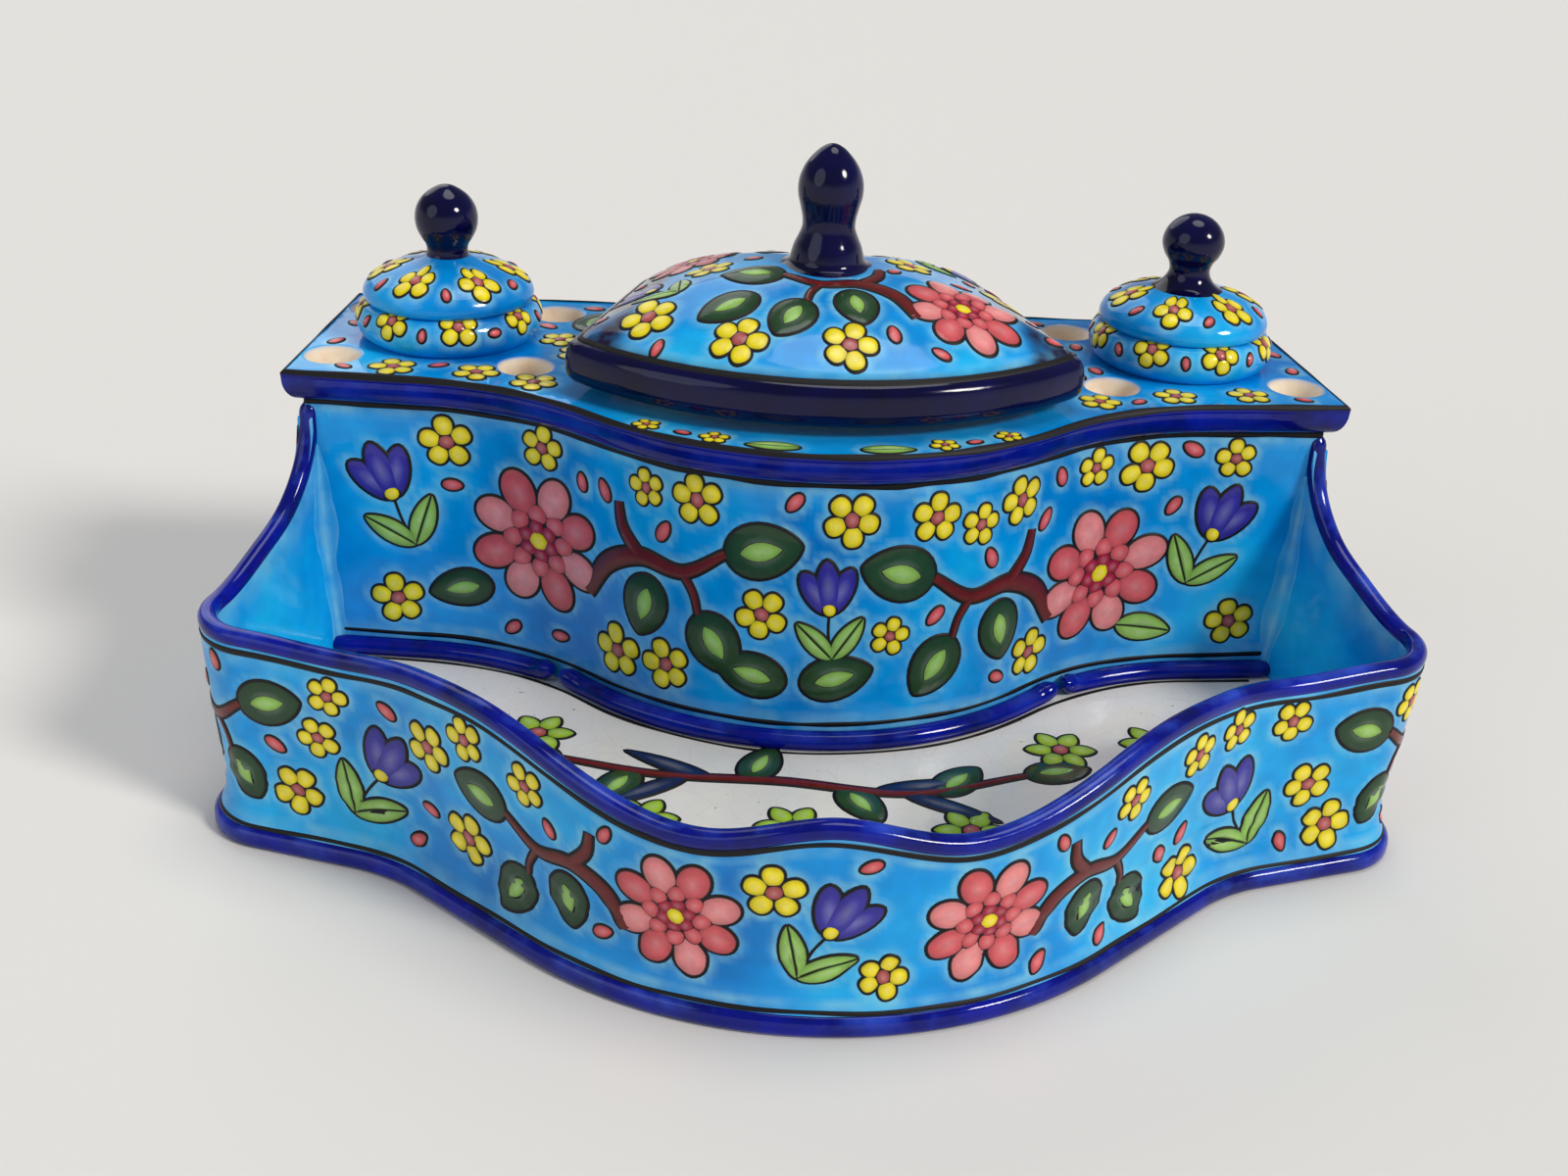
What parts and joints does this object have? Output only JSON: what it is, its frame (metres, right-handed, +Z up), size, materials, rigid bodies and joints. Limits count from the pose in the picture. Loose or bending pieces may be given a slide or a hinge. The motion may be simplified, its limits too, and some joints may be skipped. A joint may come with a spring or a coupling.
{
  "type": "double inkwell",
  "caption": "Glazed ceramic inkstand: a bow-fronted pen tray before a raised case with lift-out lidded ink pots, pen sockets and a covered stamp well.",
  "frame": {"origin": "on the table under the middle of the stand's overall box", "axes": "+Z up, +X to the right along the front, front towards -Y"},
  "size_m": [0.2864, 0.1853, 0.1545],
  "materials": {
    "turquoise_glaze": "glossy",
    "navy_glaze": "glossy",
    "cream_glaze": "glossy",
    "bare_ceramic": "matte"
  },
  "bodies": {
    "stand": {"foot_rim": "navy_glaze", "floor_slab": "cream_glaze", "tray_wall": "turquoise_glaze", "tray_rim_bead": "navy_glaze", "case_front_wall": "turquoise_glaze", "case_back_wall": "turquoise_glaze", "case_left_wall": "turquoise_glaze", "case_right_wall": "turquoise_glaze", "deck_slab": "turquoise_glaze", "deck_moulding": "navy_glaze", "stamp_well": "bare_ceramic", "floor_coil_left": "navy_glaze", "floor_coil_centre": "navy_glaze", "floor_coil_right": "navy_glaze"},
    "left_pot": {"left_ink_pot": "turquoise_glaze"},
    "right_pot": {"right_ink_pot": "turquoise_glaze"},
    "left_lid": {"left_pot_lid": "turquoise_glaze", "left_lid_knob": "navy_glaze"},
    "right_lid": {"right_pot_lid": "turquoise_glaze", "right_lid_knob": "navy_glaze"},
    "centre_cover": {"centre_lid": "turquoise_glaze", "centre_lid_finial": "navy_glaze"}
  },
  "joints": [
    {"name": "left_pot_lift", "type": "slide", "parent": "stand", "child": "left_pot", "axis": [0, 0, 1], "range_m": [0, 0.06]},
    {"name": "right_pot_lift", "type": "slide", "parent": "stand", "child": "right_pot", "axis": [0, 0, 1], "range_m": [0, 0.06]},
    {"name": "left_lid_lift", "type": "slide", "parent": "left_pot", "child": "left_lid", "axis": [0, 0, 1], "range_m": [0, 0.04]},
    {"name": "right_lid_lift", "type": "slide", "parent": "right_pot", "child": "right_lid", "axis": [0, 0, 1], "range_m": [0, 0.04]},
    {"name": "centre_cover_lift", "type": "slide", "parent": "stand", "child": "centre_cover", "axis": [0, 0, 1], "range_m": [0, 0.06]}
  ]
}
